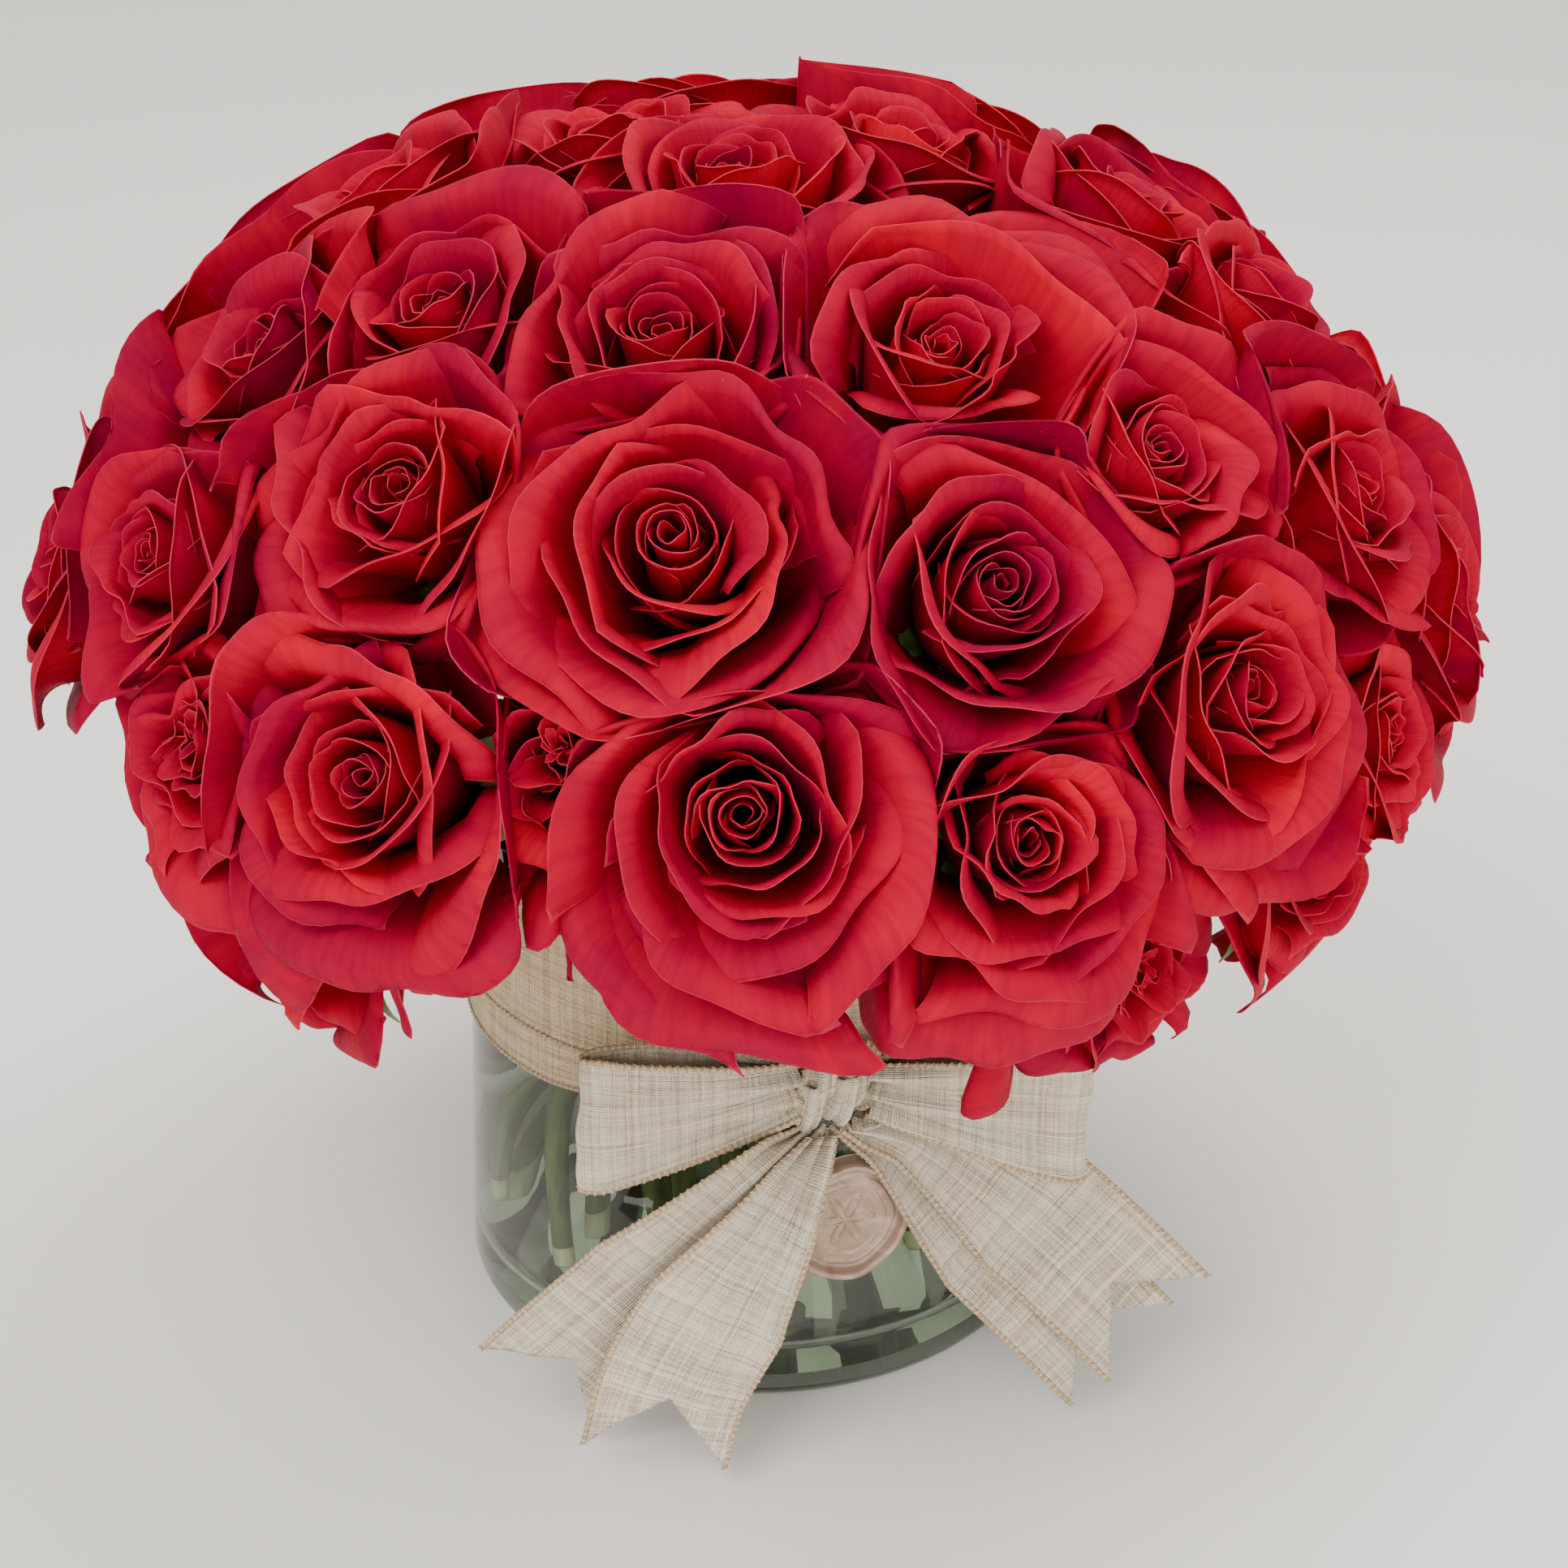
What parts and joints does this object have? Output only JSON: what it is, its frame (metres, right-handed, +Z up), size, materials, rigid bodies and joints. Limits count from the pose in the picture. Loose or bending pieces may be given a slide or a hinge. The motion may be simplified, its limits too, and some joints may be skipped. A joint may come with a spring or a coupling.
{
  "type": "roses in a glass vase",
  "caption": "Dome of open red roses standing in water in a clear glass cylinder vase, with a linen ribbon bow round its neck and a round wax seal.",
  "frame": {"origin": "middle of the vase's foot, on the surface it stands on", "axes": "+Z up along the vase; -Y is the front, where the bow and the wax seal are; +X to the right seen from the front"},
  "size_m": [0.4018, 0.3988, 0.3495],
  "materials": {
    "rose": "velvety red petals on a green stem",
    "vase_glass": "clear, faintly green in the thick foot",
    "water": "clear water",
    "linen": "loose natural linen weave with stitched edges",
    "seal_wax": "pearly pressed wax"
  },
  "bodies": {
    "root": {"rose_01": "rose", "rose_02": "rose", "rose_03": "rose", "rose_04": "rose", "rose_05": "rose", "rose_06": "rose", "rose_07": "rose", "rose_08": "rose", "rose_09": "rose", "rose_10": "rose", "rose_11": "rose", "rose_12": "rose", "rose_13": "rose", "rose_14": "rose", "rose_15": "rose", "rose_16": "rose", "rose_17": "rose", "rose_18": "rose", "rose_19": "rose", "rose_20": "rose", "rose_21": "rose", "rose_22": "rose", "rose_23": "rose", "rose_24": "rose", "rose_25": "rose", "rose_26": "rose", "rose_27": "rose", "rose_28": "rose", "rose_29": "rose", "rose_30": "rose", "rose_31": "rose", "rose_32": "rose", "rose_33": "rose", "rose_34": "rose", "rose_35": "rose", "rose_36": "rose", "rose_37": "rose", "rose_38": "rose", "rose_39": "rose", "rose_40": "rose", "rose_41": "rose", "rose_42": "rose", "rose_43": "rose", "rose_44": "rose", "rose_45": "rose", "rose_46": "rose", "rose_47": "rose", "rose_48": "rose", "rose_49": "rose", "vase": "vase_glass", "water": "water", "ribbon_band": "linen", "bow_knot": "linen", "bow_loop_left": "linen", "bow_loop_right": "linen", "bow_tail_left_inner": "linen", "bow_tail_left_outer": "linen", "bow_tail_right_lower": "linen", "bow_tail_right_upper": "linen", "wax_seal": "seal_wax"}
  },
  "joints": []
}
